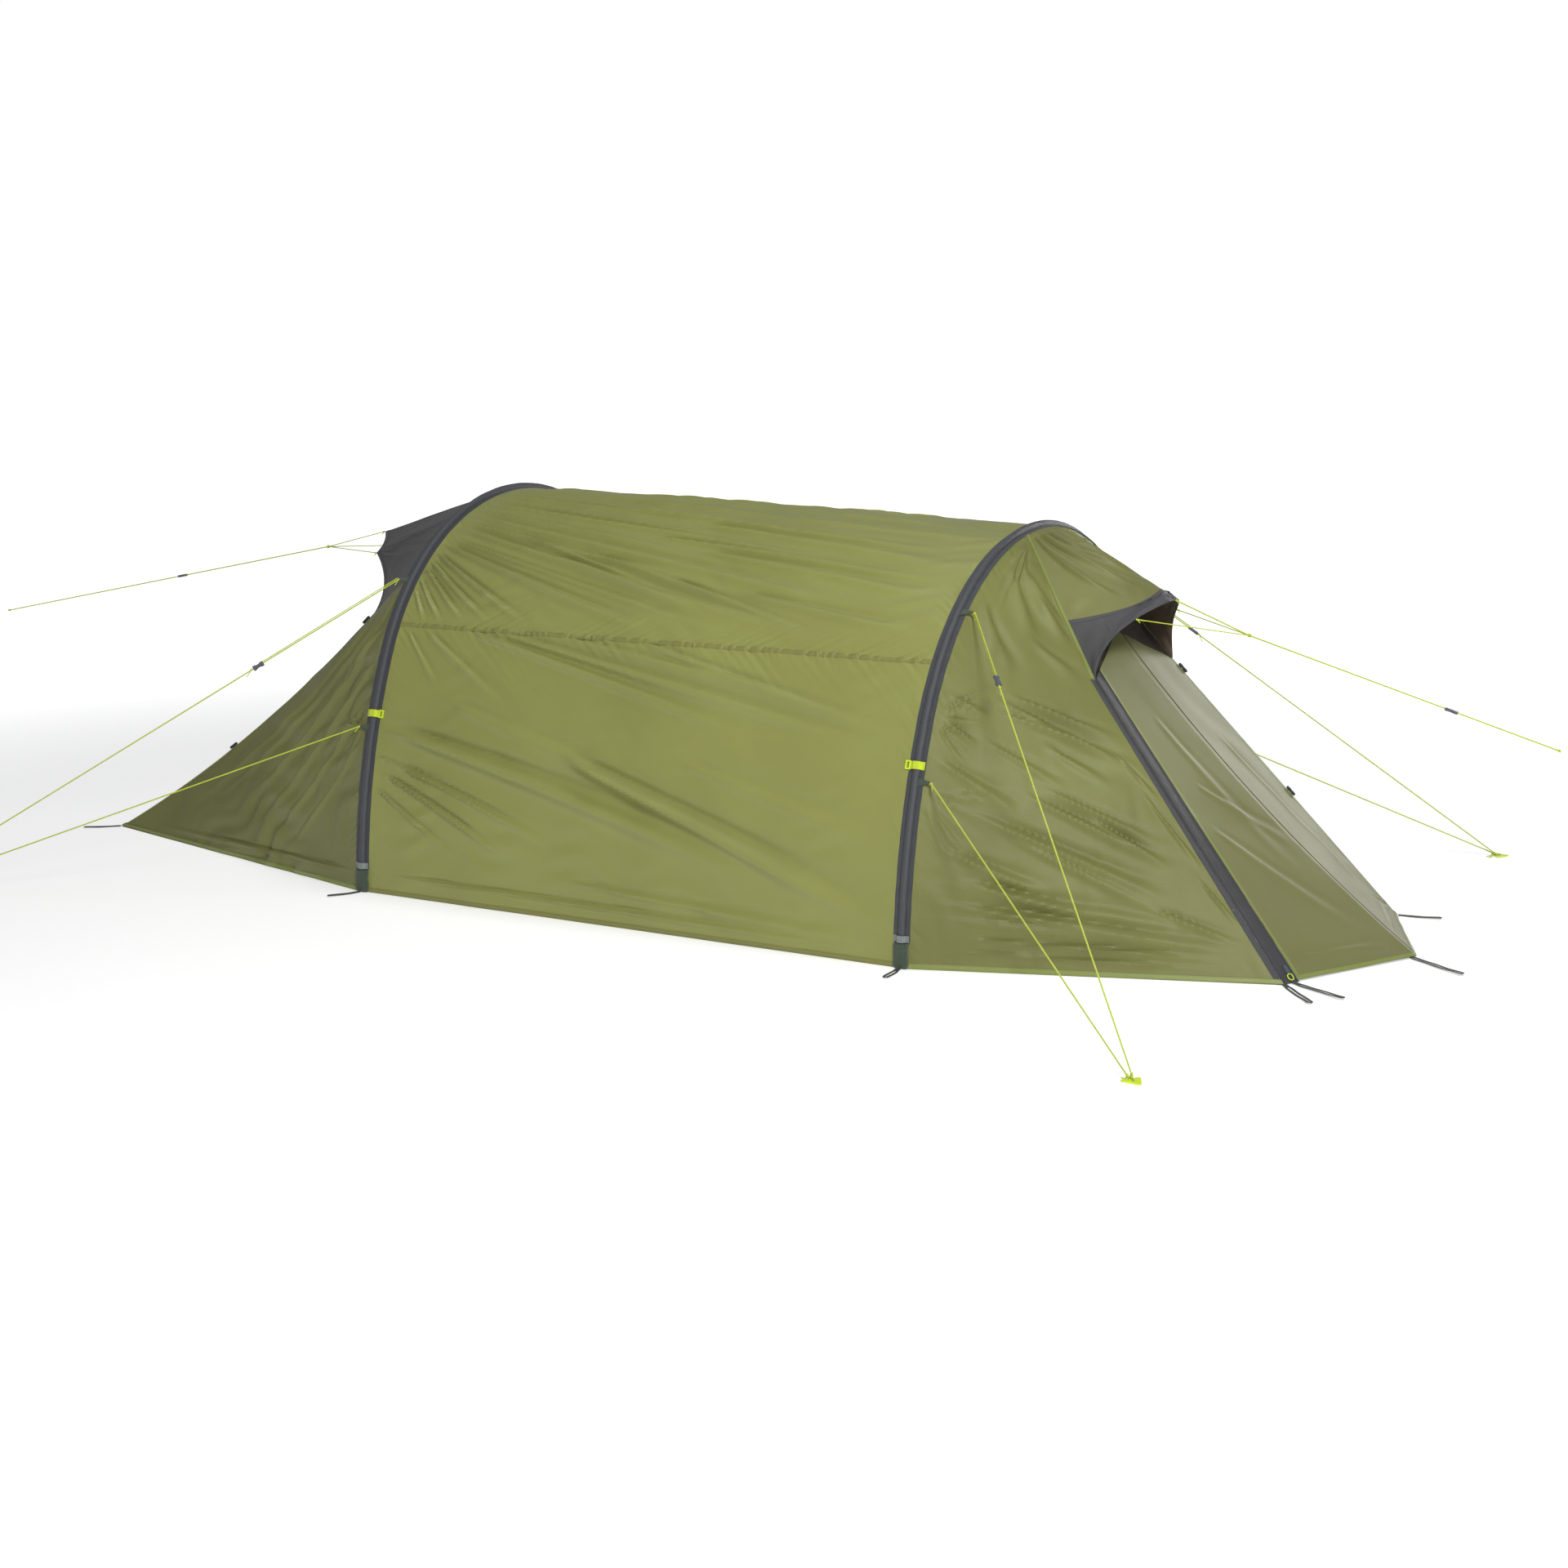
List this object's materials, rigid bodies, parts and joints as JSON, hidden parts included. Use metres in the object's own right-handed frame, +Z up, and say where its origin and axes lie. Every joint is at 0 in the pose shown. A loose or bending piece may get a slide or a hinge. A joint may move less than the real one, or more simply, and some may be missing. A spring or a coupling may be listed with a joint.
{
  "type": "tunnel tent",
  "caption": "Low two-hoop tunnel tent with a pointed porch, hinged fly door, inner tent and guy lines that hold it upright on its bent poles.",
  "frame": {"origin": "on the floor, half way between the front and rear ends of the tent with its peg loops, without the guy lines", "axes": "+X to the front, where the fly door is; +Y to the left; +Z up"},
  "size_m": [5.566, 3.1902, 1.1498],
  "materials": {
    "fly_green": "satin",
    "sleeve_grey": "matte",
    "hood_grey": "matte",
    "pole_alloy": "satin",
    "black_plastic": "matte",
    "pocket_green": "matte",
    "pale_band": "satin",
    "lime_webbing": "satin",
    "lime_cord": "satin",
    "lime_plastic": "gloss",
    "grey_plastic": "satin",
    "loop_webbing": "matte",
    "dark_mesh": "matte",
    "inner_cloth": "matte",
    "groundsheet": "satin"
  },
  "bodies": {
    "tent": {"door_top": "fly_green", "foot_bands": "pale_band", "front_bridle": "lime_cord", "front_centre_guy": "lime_cord", "front_hood": "hood_grey", "front_left_foot_pocket": "pocket_green", "front_left_lower_guy": "lime_cord", "front_left_panel": "fly_green", "front_left_upper_guy": "lime_cord", "front_pole": "pole_alloy", "front_right_foot_pocket": "pocket_green", "front_right_lower_guy": "lime_cord", "front_right_panel": "fly_green", "front_right_upper_guy": "lime_cord", "front_roof_panel": "fly_green", "front_sleeve": "sleeve_grey", "groundsheet_tub": "groundsheet", "guy_knots": "lime_cord", "guy_rings": "lime_plastic", "guy_tabs": "pocket_green", "inner_canopy": "inner_cloth", "inner_front_wall": "inner_cloth", "inner_hangers": "inner_cloth", "inner_rear_wall": "inner_cloth", "left_side_panel": "fly_green", "peg_loops": "loop_webbing", "pole_ferrules": "pole_alloy", "pole_tips": "black_plastic", "rear_back_panel": "fly_green", "rear_bridle": "lime_cord", "rear_centre_guy": "lime_cord", "rear_hood": "hood_grey", "rear_left_foot_pocket": "pocket_green", "rear_left_lower_guy": "lime_cord", "rear_left_panel": "fly_green", "rear_left_upper_guy": "lime_cord", "rear_pole": "pole_alloy", "rear_right_foot_pocket": "pocket_green", "rear_right_lower_guy": "lime_cord", "rear_right_panel": "fly_green", "rear_right_upper_guy": "lime_cord", "rear_sleeve": "sleeve_grey", "right_side_panel": "fly_green", "roof_panel": "fly_green", "sleeve_straps": "lime_webbing", "strap_buckles": "black_plastic", "toggles": "black_plastic", "vent_meshes": "dark_mesh", "zip_cover": "sleeve_grey"},
    "fly_door": {"door_flap": "fly_green", "door_peg_loop": "loop_webbing"},
    "zip": {"zip_slider": "grey_plastic", "zip_pull": "lime_plastic"},
    "inner_door": {"inner_door": "inner_cloth"},
    "front_right_runner": {"front_right_runner": "grey_plastic"},
    "front_left_runner": {"front_left_runner": "grey_plastic"},
    "rear_right_runner": {"rear_right_runner": "grey_plastic"},
    "rear_left_runner": {"rear_left_runner": "grey_plastic"},
    "front_centre_runner": {"front_centre_runner": "grey_plastic"},
    "rear_centre_runner": {"rear_centre_runner": "grey_plastic"}
  },
  "joints": [
    {"name": "door_hinge", "type": "hinge", "parent": "tent", "child": "fly_door", "pos_m": [1.895, 0.458, 0], "axis": [-0.6439, -0.2004, 0.7384], "range_deg": [0, 40]},
    {"name": "zip_slide", "type": "slide", "parent": "tent", "child": "zip", "axis": [-0.6439, 0.2004, 0.7384], "range_m": [0, 0.8]},
    {"name": "inner_door_hinge", "type": "hinge", "parent": "tent", "child": "inner_door", "pos_m": [0.9133, 0, 0.1123], "axis": [0, 1, 0], "range_deg": [0, 88]},
    {"name": "front_right_runner_slide", "type": "slide", "parent": "tent", "child": "front_right_runner", "axis": [0.5609, -0.5975, -0.5731], "range_m": [-0.15, 0.6]},
    {"name": "front_left_runner_slide", "type": "slide", "parent": "tent", "child": "front_left_runner", "axis": [0.5609, 0.5975, -0.5731], "range_m": [-0.15, 0.6]},
    {"name": "rear_right_runner_slide", "type": "slide", "parent": "tent", "child": "rear_right_runner", "axis": [-0.6287, -0.5868, -0.5103], "range_m": [-0.3, 0.6]},
    {"name": "rear_left_runner_slide", "type": "slide", "parent": "tent", "child": "rear_left_runner", "axis": [-0.6287, 0.5868, -0.5103], "range_m": [-0.3, 0.6]},
    {"name": "front_centre_runner_slide", "type": "slide", "parent": "tent", "child": "front_centre_runner", "axis": [0.9599, 0, -0.2802], "range_m": [-0.4, 0.24]},
    {"name": "rear_centre_runner_slide", "type": "slide", "parent": "tent", "child": "rear_centre_runner", "axis": [-0.9817, 0, -0.1904], "range_m": [-0.5, 0.7]}
  ]
}
